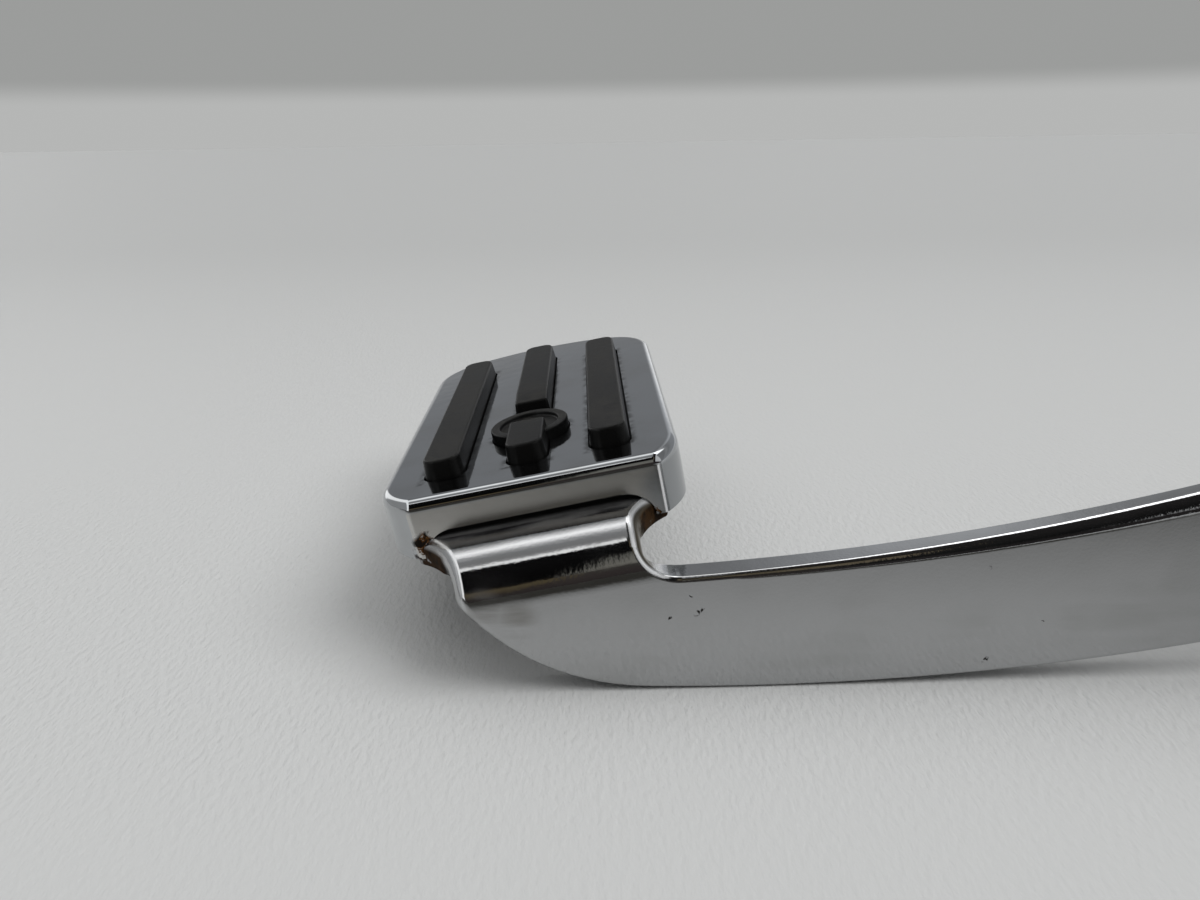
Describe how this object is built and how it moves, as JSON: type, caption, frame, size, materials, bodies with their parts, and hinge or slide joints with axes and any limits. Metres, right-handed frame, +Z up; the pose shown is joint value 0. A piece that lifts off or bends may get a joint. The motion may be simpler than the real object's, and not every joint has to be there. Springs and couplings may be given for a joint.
{
  "type": "rear brake pedal",
  "caption": "Foot brake pedal of a motorbike: plate arm with a bent neck, chromed pad cover over a ribbed rubber tread, pivot tube with bushes and a rod lever.",
  "frame": {"origin": "middle of the pivot bore, on its axis", "axes": "+Z up in the stance of the picture, +Y along the pivot axis, outwards from the motorbike towards the pad's far end, +X along the arm from the pad towards the pivot"},
  "size_m": [0.2127, 0.13, 0.0559],
  "materials": {
    "arm_chrome": "worn, wavy chrome plate with pits",
    "cover_chrome": "worn chrome plate with grime beside the bars",
    "tread_rubber": "aged black rubber",
    "bush_brass": "turned",
    "fastener_steel": "zinc plated"
  },
  "bodies": {
    "root": {"pedal_arm": "arm_chrome", "pad_cover": "cover_chrome", "pad_rubber": "tread_rubber", "pivot_tube": "arm_chrome", "rod_lever": "arm_chrome", "weld_beads": "arm_chrome", "inboard_bush": "bush_brass", "outboard_bush": "bush_brass", "cover_studs": "fastener_steel", "flat_washers": "fastener_steel", "spring_washers": "fastener_steel", "cover_nuts": "fastener_steel"}
  },
  "joints": []
}
